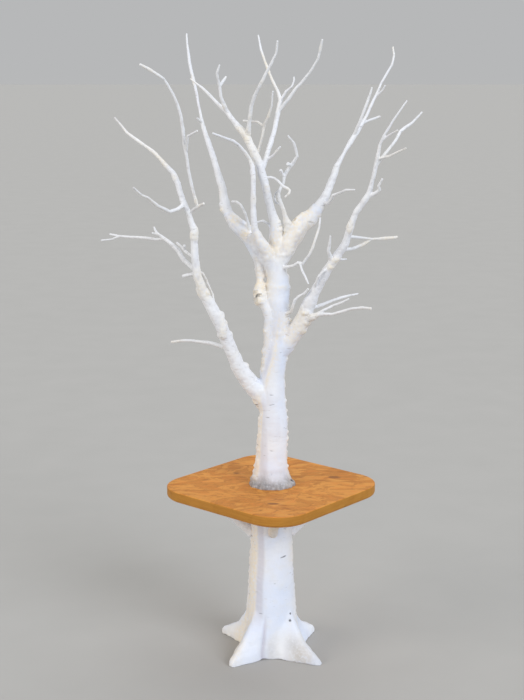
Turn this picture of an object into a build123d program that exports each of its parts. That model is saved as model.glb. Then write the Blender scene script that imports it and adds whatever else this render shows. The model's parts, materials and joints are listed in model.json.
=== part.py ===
"""Artificial tree that grows through a small square table, in named sub-parts.

Frame: millimetres, +Z up, origin on the floor under the trunk's axis.
The table's corners point to +X, +Y, -X and -Y. The tree is a moulded skin over a steel
core; six limbs plug into sockets in the crown and can be turned about their pins.
"""
from build123d import *
from math import cos, sin, radians
import os

os.makedirs("parts", exist_ok=True)

# ---------------------------------------------------------------- driving dimensions
TABLE_HEIGHT = 750.0          # floor to the board's top
BOARD_SIDE = 716.0
BOARD_THICKNESS = 46.0
BOARD_CORNER = 150.0          # corner radius in plan
BOARD_EASE = 5.0              # rounding of the board's top edge
BOARD_UNDERCUT = 14.0         # rounding of its lower edge
BOARD_TURN = 49.0             # degrees about Z; 45 would point the corners along X and Y
SEAT_DEPTH = 3.0              # routed seat that locates the tree's foot on the board

CORE_RADIUS = 38.0            # lower steel tube
CORE_WALL = 4.0
MAST_RADIUS = 30.0            # upper steel tube, inside the tree
MAST_TOP = 1300.0
FLANGE_RADIUS = 72.0
FLANGE_THICKNESS = 10.0
BASE_RADIUS = 100.0
BASE_THICKNESS = 10.0
BOLT_RADIUS = 6.0             # M12 flange bolts
BOLT_CIRCLE = 53.0
HEX_RADIUS = 10.4             # across corners / 2
SHELL_BORE = 82.0             # inside of the lower trunk skin
FOOT_RADIUS = 94.0            # the upper trunk's foot on the board

RUNNING_CLEARANCE = 0.05      # pin in sleeve, radial
BUTT_GAP = 0.4                # limb's end face to its arm
CLEAR = 1.0                   # general assembly clearance

BOARD_UNDERSIDE = TABLE_HEIGHT - BOARD_THICKNESS
SEAT_Z = TABLE_HEIGHT - SEAT_DEPTH

# ---------------------------------------------------------------- helpers
def cylinder(radius, z0, z1, x=0.0, y=0.0):
    """Upright cylinder from z0 to z1."""
    return Solid.make_cylinder(radius, z1 - z0, Plane((x, y, z0)))


def rod(start, direction, radius, length):
    """Cylinder from start along direction."""
    return Solid.make_cylinder(radius, length, Plane(origin=start, z_dir=direction))


def branch(route, start_dir=None, end_dir=None):
    """Round tapering branch through (x, y, z, radius) points, mitred at each point."""
    points = [Vector(*stop[:3]) for stop in route]
    runs = [(b - a).normalized() for a, b in zip(points, points[1:])]
    normals = [start_dir or runs[0]]
    normals += [(a + b).normalized() for a, b in zip(runs, runs[1:])]
    normals += [end_dir or runs[-1]]
    side = Vector(0.31, 0.95, 0.05)
    sections = []
    for point, normal, stop in zip(points, normals, route):
        side = (side - normal * side.dot(normal)).normalized()
        plane = Plane(origin=point, x_dir=side, z_dir=normal)
        sections.append(plane * Circle(stop[3]))
    return loft(sections, ruled=True)


def join(*shapes):
    """Natural forks: several branches grown into one piece."""
    piece = shapes[0]
    for shape in shapes[1:]:
        piece = piece + shape
    return piece


def bore(piece, *tenons):
    """Cut the sockets in which tenons sit."""
    for tenon in tenons:
        piece = piece - tenon
    return piece


def ring(radius, hole, z0, z1):
    return cylinder(radius, z0, z1) - cylinder(hole, z0 - 1, z1 + 1)


def around(count, radius, turn=0.0):
    """Places evenly spaced on a circle."""
    for i in range(count):
        angle = radians(turn + 360.0 * i / count)
        yield radius * cos(angle), radius * sin(angle)


parts = {}

# ---------------------------------------------------------------- table board
def make_tabletop():
    outline = RectangleRounded(BOARD_SIDE, BOARD_SIDE, BOARD_CORNER)
    board = extrude(outline, BOARD_THICKNESS)
    rims = board.faces().sort_by(Axis.Z)
    board = fillet(rims[0].edges(), BOARD_UNDERCUT)
    board = fillet(board.faces().sort_by(Axis.Z)[-1].edges(), BOARD_EASE)
    board = Rot(0, 0, BOARD_TURN) * board
    board = Pos(0, 0, BOARD_UNDERSIDE) * board
    board = board - cylinder(FOOT_RADIUS + CLEAR, SEAT_Z, TABLE_HEIGHT + 1)
    for x, y in around(4, BOLT_CIRCLE, 45):
        board = board - cylinder(BOLT_RADIUS + 0.5, BOARD_UNDERSIDE - 1, TABLE_HEIGHT + 1, x, y)
    return board


# ---------------------------------------------------------------- steel core
UPPER_FLANGE_TOP = SEAT_Z + FLANGE_THICKNESS
LOWER_FLANGE_Z = BOARD_UNDERSIDE - FLANGE_THICKNESS
WASHER = 2.5
BOLT_HEAD = 7.5
NUT = 10.0
POCKET_RADIUS = FLANGE_RADIUS + 4.0
POCKET_TOP = UPPER_FLANGE_TOP + WASHER + BOLT_HEAD + 6.0
BASE_SCREW_CIRCLE = 91.0
BALLAST_RADIUS = 78.0
BALLAST_HEIGHT = 110.0


def make_flange(z0):
    flange = cylinder(FLANGE_RADIUS, z0, z0 + FLANGE_THICKNESS)
    for x, y in around(4, BOLT_CIRCLE, 45):
        flange = flange - cylinder(BOLT_RADIUS + 0.5, z0 - 1, z0 + FLANGE_THICKNESS + 1, x, y)
    return flange


def hexagon(z0, z1, x, y):
    return Pos(x, y, z0) * extrude(RegularPolygon(HEX_RADIUS, 6), z1 - z0)


def make_flange_fasteners():
    bolts, washers, nuts = [], [], []
    head_z = UPPER_FLANGE_TOP + WASHER
    nut_top = LOWER_FLANGE_Z - WASHER
    for x, y in around(4, BOLT_CIRCLE, 45):
        shank = cylinder(BOLT_RADIUS, nut_top - NUT - 4, head_z, x, y)
        bolts.append(shank + hexagon(head_z, head_z + BOLT_HEAD, x, y))
        for z0 in (UPPER_FLANGE_TOP, nut_top):
            disc = cylinder(BOLT_RADIUS + 6, z0, z0 + WASHER, x, y)
            washers.append(disc - cylinder(BOLT_RADIUS + 0.3, z0 - 1, z0 + WASHER + 1, x, y))
        nut = hexagon(nut_top - NUT, nut_top, x, y)
        nuts.append(nut - cylinder(BOLT_RADIUS, nut_top - NUT - 1, nut_top + 1, x, y))
    return bolts, washers, nuts


def make_base_screw(x, y):
    """Countersunk machine screw, up through the base plate into the trunk's foot."""
    head = Solid.make_cone(8.0, 4.0, 4.0, Plane((x, y, 0.5)))
    return head + cylinder(4.0, 4.5, 42.0, x, y)


# ---------------------------------------------------------------- lower trunk and struts
# height, radius of the trunk's body
LOWER_PROFILE = [(0, 122), (45, 117), (110, 111), (220, 105), (350, 97), (480, 91), (600, 91), (BOARD_UNDERSIDE, 98)]
# root skirt: a four-pointed star on the floor that draws in to the trunk as it rises
ROOT_TIPS = [(-172, -195), (208, -176), (175, 187), (-197, 173)]
ROOT_VALLEYS = [(-4, -112), (148, 46), (0, 124), (-132, 42)]     # each follows its tip, going round
ROOT_TIP_WIDTHS = [24, 24, 62, 66]
ROOT_CORNER = 7.0             # rounding of the skirt's corners in plan
ROOT_NARROWING = 0.35         # share by which the toes' backs are narrower than their tips
NARROW_FROM = 80.0            # height at which they have reached that width
TRUNK_AT_ROOTS = 108.0        # the trunk's radius where the skirt runs out
SKIRT_TOP_RADIUS = 97.0       # the skirt ends inside the trunk's skin
# height, then how far each of the four tips and the valleys still reach out from the trunk
ROOT_LEVELS = [
    (0, 1.02, 1.0, 1.03, 1.03, 1.0), (16, 1.0, 0.93, 1.03, 1.03, 0.88),
    (31, 0.94, 0.80, 0.97, 0.97, 0.72), (48, 0.79, 0.63, 0.74, 0.74, 0.57),
    (77, 0.55, 0.43, 0.46, 0.46, 0.38), (120, 0.30, 0.24, 0.23, 0.23, 0.16),
    (160, 0.10, 0.09, 0.07, 0.07, 0.03),
]
SKIRT_TOP = 225.0
STRUT_SLOPE = 43.0            # degrees above level
STRUT_FOOT_Z = 541.0
FRONT_STRUT_FOOT_Z = 561.0     # the front strut leaves the trunk a little higher
FRONT_STRUT_SHARE = 0.86      # its thickness beside the others
STRUT_SCREW_REACH = 232.0     # from the axis


def make_trunk_body():
    return branch([(0, 0, z, radius) for z, radius in LOWER_PROFILE])


def drawn_in(point, share):
    """A point of the skirt's footprint, drawn in towards the trunk until its share is left."""
    spoke = Vector(*point)
    return spoke.normalized() * (TRUNK_AT_ROOTS + share * (spoke.length - TRUNK_AT_ROOTS))


def skirt_section(z, *shares):
    """Rounded star outline of the root skirt at one height; the last share is the valleys'."""
    corners = []
    narrow = 1.0 - ROOT_NARROWING * min(z / NARROW_FROM, 1.0)
    for tip, dip, width, share in zip(ROOT_TIPS, ROOT_VALLEYS, ROOT_TIP_WIDTHS, shares):
        centre = drawn_in(tip, share)
        across = Vector(-centre.Y, centre.X).normalized() * (width * narrow / 2)
        corners += [centre - across, centre + across, drawn_in(dip, shares[-1])]
    return rounded_section(z, corners)


def rounded_section(z, corners):
    outline = make_face(Polyline(*[(c.X, c.Y) for c in corners], close=True))
    return Pos(0, 0, z) * fillet(outline.vertices(), ROOT_CORNER)


def make_root_skirt():
    sections = [skirt_section(*level) for level in ROOT_LEVELS]
    top = []
    for tip, dip in zip(ROOT_TIPS, ROOT_VALLEYS):
        centre = Vector(*tip).normalized() * SKIRT_TOP_RADIUS
        across = Vector(-centre.Y, centre.X).normalized() * 9
        top += [centre - across, centre + across, Vector(*dip).normalized() * SKIRT_TOP_RADIUS]
    sections.append(rounded_section(SKIRT_TOP, top))
    return loft(sections, ruled=True)


def make_strut(angle, foot_z, share):
    """Branch stub from the trunk's side up to the board's underside, its thickness by share."""
    out = Vector(cos(radians(angle)), sin(radians(angle)), 0)
    up = Vector(0, 0, sin(radians(STRUT_SLOPE)))
    run = out * cos(radians(STRUT_SLOPE)) + up
    route = []
    for reach, radius in ((80, 24), (130, 21.5), (190, 20), (290, 22)):
        lift = (reach - 90) * sin(radians(STRUT_SLOPE)) / cos(radians(STRUT_SLOPE))
        centre = out * reach + Vector(0, 0, foot_z + lift)
        route.append((centre.X, centre.Y, centre.Z, radius * share))
    stub = branch(route, run, run)
    stub = stub - cylinder(400, BOARD_UNDERSIDE, BOARD_UNDERSIDE + 150)
    return stub - cylinder(SHELL_BORE + 4.0, 400, 800)


def make_strut_screw(angle):
    """Wood screw, upright through the strut's head into the board."""
    x = STRUT_SCREW_REACH * cos(radians(angle))
    y = STRUT_SCREW_REACH * sin(radians(angle))
    head = cylinder(5.0, BOARD_UNDERSIDE - 40, BOARD_UNDERSIDE - 36, x, y)
    return head + cylinder(2.5, BOARD_UNDERSIDE - 36, BOARD_UNDERSIDE + 25, x, y)


# ---------------------------------------------------------------- upper trunk
TRUNK = [
    (0, 0, SEAT_Z, FOOT_RADIUS), (0, 0, 775, 84), (0, 0, 815, 73), (0, 0, 870, 66.5),
    (6, 0, 1000, 63), (7, 0, 1085, 55.5), (5, 0, 1140, 53.5), (4, 0, 1220, 51), (16, 0, 1330, 52),
    (27, 0, 1390, 48), (27, 0, 1465, 48), (24, 0, 1545, 53), (26, 0, 1600, 50), (20, 0, 1645, 43), (13, 2, 1700, 44),
    (12, 2, 1765, 40),
]
LEFT_LEADER = [
    (-18, -5, 1180, 22), (-21, -20, 1300, 20), (-12, -30, 1375, 18), (-10, -34, 1470, 18),
    (-20, -33, 1506, 19), (-41, -25, 1550, 20), (-49, -8, 1630, 17), (-46, 6, 1700, 24),
    (-68, 22, 1768, 34), (-110, 43, 1820, 33), (-152, 60, 1856, 30),
]
RIGHT_LEADER = [(15, 3, 1700, 42), (60, 0, 1764, 41), (105, -3, 1829, 36.5), (152, 8, 1883, 30)]
CENTRE_LEADER = [(18, 4, 1715, 38), (17, -4, 1795, 30)]
FRONT_LEADER = [(5, -8, 1660, 26), (-22, -35, 1740, 27), (-50, -50, 1795, 24)]
LEFT_WEB = [(-20, -14, 1700, 26), (-52, -14, 1762, 31), (-82, 8, 1812, 28)]   # between both
LEFT_BOSS = [(2, 0, 1040, 44), (-16, -2, 1100, 45), (-48, -8, 1150, 41)]
RIGHT_BOSS = [(18, 2, 1310, 40), (55, -9, 1352, 38), (86, -19, 1394, 35)]

# ---------------------------------------------------------------- limbs that plug in
# The first two points give the pin's axis; the first point is on the butt face.
LEFT_LIMB = [
    (-90, -16, 1195, 37), (-113, -24, 1227, 35), (-146, -42, 1278, 30), (-177, -60, 1362, 26),
    (-205, -80, 1445, 25), (-240, -95, 1520, 25), (-275, -110, 1592, 20), (-298, -128, 1660, 18),
    (-310, -138, 1750, 16), (-312, -148, 1850, 13), (-330, -150, 1910, 10.5), (-350, -150, 1955, 12),
    (-372, -140, 2035, 10.5), (-392, -128, 2075, 10), (-440, -108, 2120, 6.5), (-465, -90, 2145, 7.5),
    (-530, -60, 2190, 6.5), (-580, -30, 2225, 5.5), (-635, 0, 2285, 3.5),
]
RIGHT_LIMB = [
    (107, -30, 1430, 33), (128, -43, 1472, 31.5), (152, -65, 1535, 28),
    (175, -85, 1590, 23.5), (205, -105, 1650, 20), (235, -125, 1705, 18), (265, -140, 1755, 16),
    (290, -155, 1795, 15.5), (305, -170, 1845, 14.5), (330, -190, 1925, 12), (360, -205, 1970, 12),
    (378, -212, 2000, 11), (388, -220, 2050, 8.5), (400, -232, 2105, 9), (406, -240, 2140, 8.5),
    (412, -248, 2190, 6.5), (425, -260, 2225, 5), (455, -270, 2280, 4.5), (510, -290, 2360, 3),
]
RIGHT_LIMB_SPUR = [(250, -133, 1728, 6), (276, -136, 1730, 4), (298, -128, 1730, 3)]
RIGHT_LIMB_FORK = [(416, -252, 2204, 5.5), (446, -270, 2230, 4), (475, -295, 2250, 3.5)]
CROWN_LEFT = [
    (-180, 75, 1895, 20), (-195, 90, 1935, 20.5), (-206, 112, 2000, 16.5), (-225, 135, 2060, 13.5),
    (-240, 155, 2110, 12.5), (-260, 175, 2165, 11), (-285, 200, 2240, 9), (-298, 218, 2290, 6.5),
    (-308, 235, 2335, 5.5), (-322, 258, 2405, 6), (-335, 275, 2465, 7), (-345, 290, 2515, 6.5),
    (-352, 310, 2580, 4.5), (-355, 325, 2625, 4),
]
CROWN_LEFT_SPUR = [(-289, 208, 2262, 5.5), (-312, 185, 2282, 4)]
CROWN_LEFT_KNUCKLE = [(-196, 88, 1930, 15), (-212, 82, 1922, 15)]   # pruned stub above the joint
CROWN_RIGHT = [
    (190, 20, 1925, 22), (214, 30, 1956, 18.5), (235, 45, 2000, 15), (252, 60, 2045, 14),
    (268, 72, 2090, 13), (280, 80, 2112, 10.5), (297, 90, 2137, 8), (325, 105, 2180, 10.5),
    (350, 120, 2220, 10), (372, 132, 2253, 9), (392, 147, 2288, 6.5), (420, 170, 2355, 5.5),
    (455, 195, 2425, 5), (500, 220, 2495, 5), (510, 235, 2535, 4.5), (505, 245, 2570, 3.5),
]
CROWN_RIGHT_FORK = [(430, 176, 2372, 4.5), (455, 165, 2395, 4), (466, 155, 2416, 3.5)]
CROWN_CENTRE = [
    (10, -12, 1858, 18.5), (2, -16, 1898, 17), (-9, -26, 1945, 16), (-20, -35, 1990, 15.5),
    (-33, -40, 2040, 15.5), (-48, -40, 2090, 16), (-77, -30, 2160, 15.5), (-102, -10, 2215, 13.5),
    (-125, 5, 2242, 11.5), (-155, 25, 2275, 10.5), (-182, 42, 2312, 10), (-215, 65, 2337, 7.5),
    (-245, 90, 2362, 6.5), (-290, 120, 2405, 5.5), (-335, 150, 2440, 3.5),
]
FRONT_STEM = [
    (-70, -60, 1845, 14), (-73, -64, 1880, 13), (-75, -68, 1930, 12), (-76, -72, 1990, 11),
    (-75, -70, 2050, 10), (-78, -62, 2095, 9), (-88, -62, 2122, 7), (-108, -76, 2155, 6.5),
    (-130, -92, 2180, 6), (-152, -110, 2200, 6.5), (-190, -140, 2215, 4.5), (-230, -170, 2230, 4),
]

# ---------------------------------------------------------------- twigs let into the limbs
# Each group is one piece: its first route starts inside the limb, the others fork from it.
LEFT_TWIGS = {
    "left_twig_low": [
        [(-178, -60, 1345, 9), (-245, -30, 1365, 7.5), (-325, 25, 1365, 6), (-370, 50, 1360, 5.5),
         (-425, 90, 1345, 5)],
    ],
    "left_spray": [
        [(-314, -128, 1690, 10.5), (-355, -85, 1717, 9), (-385, -50, 1755, 9), (-420, -25, 1785, 8),
         (-450, -5, 1805, 6.5), (-475, 10, 1825, 4.5), (-485, 20, 1845, 3.5)],
        [(-445, -8, 1800, 5.5), (-478, 15, 1795, 5.5), (-545, 60, 1795, 5.5), (-640, 115, 1795, 4.5),
         (-680, 135, 1802, 4)],
        [(-635, 112, 1795, 4), (-670, 120, 1782, 3.5), (-715, 130, 1775, 3.5)],
        [(-462, 2, 1813, 4), (-490, -20, 1825, 3.5)],
    ],
    "left_runner": [
        [(-232, -92, 1530, 6), (-240, -70, 1575, 5), (-262, -82, 1635, 4.5), (-278, -104, 1668, 4.5),
         (-297, -130, 1684, 4)],
    ],
    "left_tall_twig": [
        [(-327, -150, 1918, 6), (-295, -180, 1945, 5.5), (-270, -205, 1960, 4.5)],
        [(-296, -180, 1944, 4.5), (-305, -190, 1980, 5), (-315, -200, 2025, 6), (-328, -212, 2090, 6.5),
         (-340, -230, 2190, 6.5), (-342, -242, 2250, 6), (-352, -257, 2305, 5.5), (-380, -280, 2385, 5),
         (-410, -300, 2440, 5), (-460, -325, 2475, 5), (-495, -340, 2495, 3.5)],
        [(-336, -222, 2160, 5.5), (-330, -245, 2195, 5), (-325, -260, 2225, 4.5), (-285, -290, 2245, 3)],
    ],
    "left_curl_twig": [
        [(-348, -150, 1950, 8), (-372, -180, 1935, 7), (-400, -210, 1930, 6.5), (-445, -250, 1955, 6),
         (-480, -285, 1990, 5), (-500, -305, 2002, 4.5), (-530, -335, 2035, 3.5)],
    ],
}
LEFT_SPURS = [
    [[(-308, -127, 1670, 7), (-360, -100, 1655, 7.5)]],
    [[(-314, -136, 1738, 6.5), (-345, -98, 1752, 6), (-368, -70, 1770, 5), (-388, -52, 1786, 4)],
     [(-357, -84, 1761, 5), (-354, -102, 1782, 6)]],
]
RIGHT_TWIGS = {
    "right_side_twig": [
        [(401, -231, 2108, 7), (430, -215, 2145, 6.5), (455, -200, 2175, 5.5), (480, -185, 2205, 5.5),
         (500, -170, 2240, 5.5), (520, -160, 2255, 6.5), (550, -145, 2275, 4.5), (590, -120, 2315, 3.5)],
    ],
    "right_front_twig": [
        [(406, -239, 2134, 5.5), (450, -255, 2146, 4.5), (510, -295, 2180, 3)],
    ],
    "right_hook_twig": [
        [(372, -210, 1988, 8.5), (402, -222, 2002, 7), (416, -231, 2016, 6), (411, -240, 2032, 5),
         (425, -250, 2060, 3.5)],
    ],
    "right_loop_twig": [
        [(298, -162, 1825, 7.5), (350, -130, 1816, 5.5), (405, -95, 1806, 5.5), (460, -55, 1806, 5.5),
         (510, -25, 1806, 4.5)],
        [(273, -144, 1768, 8), (322, -130, 1772, 6), (362, -112, 1784, 5.5), (402, -97, 1806, 4.5)],
    ],
    "right_spike": [
        [(243, -130, 1720, 8), (230, -146, 1740, 7), (221, -160, 1765, 6.5), (226, -172, 1795, 5.5),
         (230, -186, 1830, 3.5)],
    ],
    "right_runner": [
        [(176, -88, 1592, 7), (176, -118, 1630, 5.5), (188, -136, 1662, 5), (208, -140, 1685, 5.5),
         (228, -122, 1694, 5.5)],
    ],
    "right_low_spray": [
        [(138, -52, 1480, 13), (165, -85, 1490, 10), (190, -105, 1500, 7.5), (245, -140, 1510, 6),
         (282, -165, 1525, 6), (320, -190, 1540, 5.5), (360, -215, 1546, 5), (395, -240, 1546, 4.5)],
        [(182, -98, 1497, 7), (210, -112, 1520, 5.5), (245, -120, 1540, 5), (285, -140, 1560, 4.5),
         (310, -150, 1575, 3)],
    ],
    "right_low_twig": [
        [(148, -62, 1515, 9), (186, -60, 1524, 7), (215, -52, 1532, 6.5), (280, -25, 1555, 5.5),
         (320, -5, 1565, 4.5), (360, 15, 1570, 3)],
    ],
}
CROWN_RIGHT_TWIGS = {
    "crown_right_strand": [
        [(340, 116, 2208, 7), (356, 96, 2250, 5.5), (370, 85, 2290, 5.5), (385, 80, 2335, 5.5),
         (396, 75, 2370, 4.5), (405, 70, 2405, 3)],
    ],
    "crown_right_spur": [
        [(372, 134, 2256, 6.5), (398, 150, 2268, 5), (450, 178, 2288, 4.5)],
    ],
    "crown_right_low_twig": [
        [(214, 16, 1945, 7), (228, -4, 1942, 7), (244, -24, 1962, 6.5), (248, -38, 1978, 6.5),
         (262, -50, 1986, 5), (296, -86, 2005, 4.5), (330, -115, 2010, 3)],
    ],
}
CROWN_CENTRE_TWIGS = {
    "centre_fork_twig": [
        [(-178, 40, 2306, 8), (-192, 30, 2338, 8), (-205, 18, 2372, 7), (-210, 10, 2412, 6.5),
         (-216, -2, 2440, 5), (-220, -12, 2462, 5), (-210, -25, 2495, 3)],
        [(-210, 8, 2412, 6), (-195, 35, 2435, 5.5), (-185, 55, 2450, 3.5)],
    ],
    "centre_front_twig": [
        [(-98, -12, 2212, 9.5), (-90, -35, 2275, 8), (-80, -60, 2335, 7), (-68, -78, 2372, 6.5),
         (-48, -98, 2415, 6), (-28, -112, 2455, 5.5), (-5, -130, 2500, 5.5), (14, -143, 2540, 4.5),
         (20, -160, 2585, 4)],
    ],
    "centre_hook_twig": [
        [(-32, -40, 2050, 6.5), (-8, -47, 2052, 5.5), (8, -52, 2049, 5), (24, -62, 2038, 5),
         (42, -75, 2020, 5), (60, -80, 2010, 6), (71, -86, 2000, 5), (66, -92, 1988, 5),
         (50, -92, 1975, 3.5)],
    ],
    "centre_back_stem": [
        [(-47, -38, 2073, 13), (-36, -32, 2098, 11.5), (-25, -20, 2130, 10.5), (-10, 0, 2172, 10),
         (5, 25, 2215, 9.5), (15, 48, 2255, 10), (27, 85, 2315, 10), (35, 108, 2352, 9),
         (22, 130, 2392, 6), (0, 155, 2440, 5.5), (-30, 185, 2515, 5), (-45, 200, 2560, 5),
         (-55, 220, 2620, 3.5)],
        [(34, 107, 2350, 6.5), (56, 104, 2386, 5.5), (80, 97, 2405, 4.5), (91, 105, 2432, 4),
         (90, 112, 2445, 3)],
        [(-28, -24, 2118, 6), (5, -40, 2140, 4.5), (35, -62, 2175, 4)],
    ],
    "centre_back_twig": [
        [(25, 79, 2305, 8), (44, 76, 2332, 6.5), (68, 72, 2362, 6.5), (95, 65, 2400, 5.5),
         (120, 60, 2425, 5.5), (150, 45, 2460, 5), (185, 20, 2515, 5), (192, 8, 2550, 5),
         (200, -10, 2595, 4)],
    ],
}
FRONT_STEM_TWIGS = {
    "front_stem_twig": [
        [(-77, -68, 2056, 7), (-85, -22, 2076, 6.5), (-69, 30, 2108, 6), (-54, 58, 2145, 6),
         (-42, 74, 2190, 5.5), (-33, 80, 2240, 5.5), (-30, 76, 2256, 5.5), (-14, 52, 2290, 4.5),
         (0, 32, 2335, 4), (5, 10, 2390, 3)],
        [(-31, 79, 2250, 5), (-57, 110, 2266, 4.5), (-92, 140, 2270, 4), (-117, 160, 2272, 5)],
    ],
}
# twigs that also sit in another twig, made before them
TWIG_HOSTS = {"centre_back_twig": ["centre_back_stem"]}
TRUNK_TWIGS = {
    "trunk_twig": [
        [(35, -15, 1678, 8), (85, -60, 1695, 5.5), (105, -76, 1710, 6.5), (124, -90, 1710, 5.5),
         (146, -105, 1742, 5.5), (160, -110, 1772, 5), (175, -105, 1812, 5), (190, -95, 1855, 4.5),
         (196, -85, 1895, 3.5)],
        [(112, -82, 1709, 5), (120, -100, 1682, 4.5), (135, -112, 1655, 4.5), (146, -126, 1630, 3)],
    ],
    "trunk_twig_low": [
        [(50, -22, 1488, 8), (82, -52, 1504, 6.5), (95, -80, 1555, 5.5), (110, -86, 1572, 5.5),
         (130, -92, 1585, 5.5), (146, -104, 1608, 3.5)],
    ],
    "curly_twig": [
        [(72, -4, 1800, 11), (66, -14, 1845, 10), (60, -20, 1870, 9), (46, -30, 1920, 8),
         (31, -32, 1962, 7), (27, -30, 1985, 6.5), (35, -25, 2008, 6), (46, -20, 2025, 6.5),
         (52, -20, 2058, 7), (70, -25, 2086, 7), (86, -30, 2106, 7), (105, -45, 2136, 5.5),
         (98, -52, 2160, 5), (88, -62, 2190, 4.5), (65, -75, 2220, 3)],
        [(34, -26, 2004, 4.5), (16, -8, 1986, 4), (10, 4, 1968, 4), (16, -6, 1948, 4), (38, -28, 1940, 4.5)],
        [(52, -20, 2050, 5), (42, -30, 2067, 5), (35, -40, 2080, 6.5)],
        [(80, -28, 2099, 6), (65, -45, 2106, 7)],
    ],
}
CROTCH_TWIGS = [
    [[(-92, 28, 1800, 7), (-95, 8, 1858, 5.5), (-107, -5, 1900, 5), (-127, 5, 1935, 5),
      (-145, 30, 1947, 5), (-163, 52, 1945, 4.5)]],
    [[(4, 1, 1832, 6), (-14, 6, 1858, 5), (-36, 4, 1872, 4.5), (-62, 10, 1866, 4)]],
]

# ---------------------------------------------------------------- limb joints
# limb: its pin's radius, the sleeve's wall and depth in the arm, the pin's length in the limb
JOINTS = {
    "left_limb": (LEFT_LIMB, 10.0, 3.0, 50.0, 60.0),
    "right_limb": (RIGHT_LIMB, 10.0, 3.0, 50.0, 44.0),
    "crown_left": (CROWN_LEFT, 6.0, 2.5, 36.0, 40.0),
    "crown_right": (CROWN_RIGHT, 6.0, 2.5, 36.0, 40.0),
    "crown_centre": (CROWN_CENTRE, 6.0, 2.5, 36.0, 40.0),
    "front_stem": (FRONT_STEM, 4.5, 2.0, 30.0, 34.0),
}
GRUB_RADIUS = 2.5
GRUB_LENGTH = 6.0
GRUB_BACK = 15.0              # grub screw's distance below the butt face


def pin_axis(limb):
    start, second = Vector(*limb[0][:3]), Vector(*limb[1][:3])
    return start, (second - start).normalized()


def arm_end(limb):
    """Last stop of the arm that carries a limb: just short of the limb's butt face."""
    start, axis = pin_axis(limb)
    end = start - axis * BUTT_GAP
    return (end.X, end.Y, end.Z, limb[0][3] + 0.5)


def make_arm(route, limb):
    axis = pin_axis(limb)[1]
    return branch(route + [arm_end(limb)], end_dir=axis)


def make_joint(limb, pin_radius, wall, depth, reach):
    """Pin, sleeve and grub screw of one limb, and the cutters for its arm and its limb."""
    start, axis = pin_axis(limb)
    mouth = start - axis * BUTT_GAP
    foot = mouth - axis * depth
    bore_radius = pin_radius + RUNNING_CLEARANCE
    pin = rod(foot + axis * CLEAR, axis, pin_radius, depth - CLEAR + BUTT_GAP + reach)
    outer = rod(foot, axis, bore_radius + wall, depth)
    side = Vector(0, 1, 0)
    side = (side - axis * side.dot(axis)).normalized()
    grub_start = mouth - axis * GRUB_BACK + side * bore_radius
    grub = rod(grub_start, side, GRUB_RADIUS, GRUB_LENGTH)
    grub = grub - rod(foot, axis, bore_radius, depth)
    sleeve = outer - rod(foot - axis, axis, bore_radius, depth + 2)
    sleeve = sleeve - rod(grub_start - side * 2, side, GRUB_RADIUS, GRUB_LENGTH)
    return pin, sleeve, grub, [outer, rod(grub_start, side, GRUB_RADIUS, GRUB_LENGTH)]


def make_limb(name, main, forks, twigs):
    """A limb with its pin bored in, and the twigs let into it and into each other."""
    limb = join(branch(main), *[branch(route) for route in forks])
    for twig_name, routes in twigs.items():
        twig = join(*[branch(route) for route in routes])
        for host in TWIG_HOSTS.get(twig_name, []):
            parts[host] = parts[host] - twig
        parts[twig_name] = twig
        limb = limb - twig
    return limb - parts[name.replace("_limb", "") + "_pin"]


# ---------------------------------------------------------------- build: table and core
parts["tabletop"] = make_tabletop()
bolts, washers, nuts = make_flange_fasteners()
parts["flange_bolts"] = Compound(children=bolts)
parts["flange_washers"] = Compound(children=washers)
parts["flange_nuts"] = Compound(children=nuts)
parts["lower_flange"] = make_flange(LOWER_FLANGE_Z)
parts["upper_flange"] = make_flange(SEAT_Z)
parts["lower_core_tube"] = ring(CORE_RADIUS, CORE_RADIUS - CORE_WALL, BASE_THICKNESS, LOWER_FLANGE_Z)
parts["upper_core_tube"] = ring(MAST_RADIUS, MAST_RADIUS - CORE_WALL, UPPER_FLANGE_TOP, MAST_TOP)
base_plate = cylinder(BASE_RADIUS, 0, BASE_THICKNESS)
base_screws = [make_base_screw(x, y) for x, y in around(4, BASE_SCREW_CIRCLE, 90)]
for x, y in around(4, BASE_SCREW_CIRCLE, 90):
    base_plate = base_plate - Solid.make_cone(8.5, 4.0, 4.5, Plane((x, y, 0)))
    base_plate = base_plate - cylinder(4.0, 4.0, 11.0, x, y)
parts["base_plate"] = base_plate
parts["base_screws"] = Compound(children=base_screws)
parts["ballast_ring"] = ring(BALLAST_RADIUS, CORE_RADIUS + CLEAR, BASE_THICKNESS, BALLAST_HEIGHT)

# ---------------------------------------------------------------- build: lower trunk
struts, strut_screws = [], []
for i, name in enumerate(("strut_right", "strut_back", "strut_left", "strut_front")):
    angle = BOARD_TURN - 45.0 + 90.0 * i
    screw = make_strut_screw(angle)
    front = name == "strut_front"
    foot_z = FRONT_STRUT_FOOT_Z if front else STRUT_FOOT_Z
    strut = make_strut(angle, foot_z, FRONT_STRUT_SHARE if front else 1.0) - screw
    strut_screws.append(screw)
    struts.append(strut)
    parts[name] = strut
    parts["tabletop"] = parts["tabletop"] - screw
parts["strut_screws"] = Compound(children=strut_screws)

lower_trunk = make_trunk_body() + make_root_skirt()
lower_trunk = lower_trunk - cylinder(BASE_RADIUS, -1, BASE_THICKNESS)
lower_trunk = lower_trunk - cylinder(SHELL_BORE, 0, BOARD_UNDERSIDE + 1)
lower_trunk = bore(lower_trunk, *base_screws, *struts)
parts["lower_trunk"] = lower_trunk

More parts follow.
